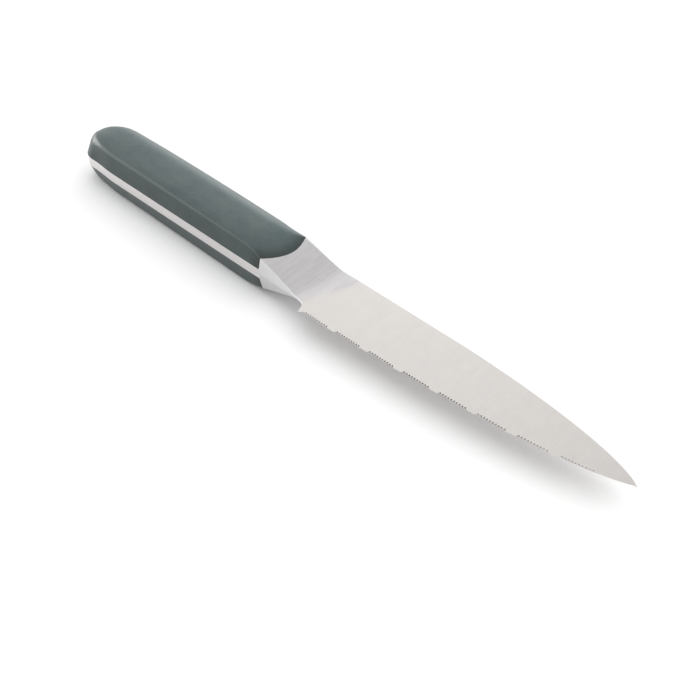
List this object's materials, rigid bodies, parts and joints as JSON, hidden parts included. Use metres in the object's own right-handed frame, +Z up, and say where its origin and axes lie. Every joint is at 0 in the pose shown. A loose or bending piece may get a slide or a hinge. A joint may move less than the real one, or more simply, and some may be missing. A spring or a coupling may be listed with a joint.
{
  "type": "serrated utility knife",
  "caption": "Kitchen utility knife with a micro-serrated straight blade, an integral wedge bolster and a full tang between two smooth moulded handle scales",
  "frame": {"origin": "centre of the bounding box in plan, at the level of the surface the knife lies on", "axes": "the knife lies on its left side: +X from the butt to the tip, +Y from the cutting edge to the spine, +Z up through the thickness"},
  "size_m": [0.2462, 0.0262, 0.0192],
  "materials": {
    "steel": "satin ground stainless steel, grain across the blade and the bolster",
    "grip": "satin moulded plastic, dark green-grey",
    "pin_steel": "turned steel"
  },
  "bodies": {
    "root": {"blade": "steel", "scale_right": "grip", "scale_left": "grip", "pin_front": "pin_steel", "pin_middle": "pin_steel", "pin_rear": "pin_steel"}
  },
  "joints": []
}
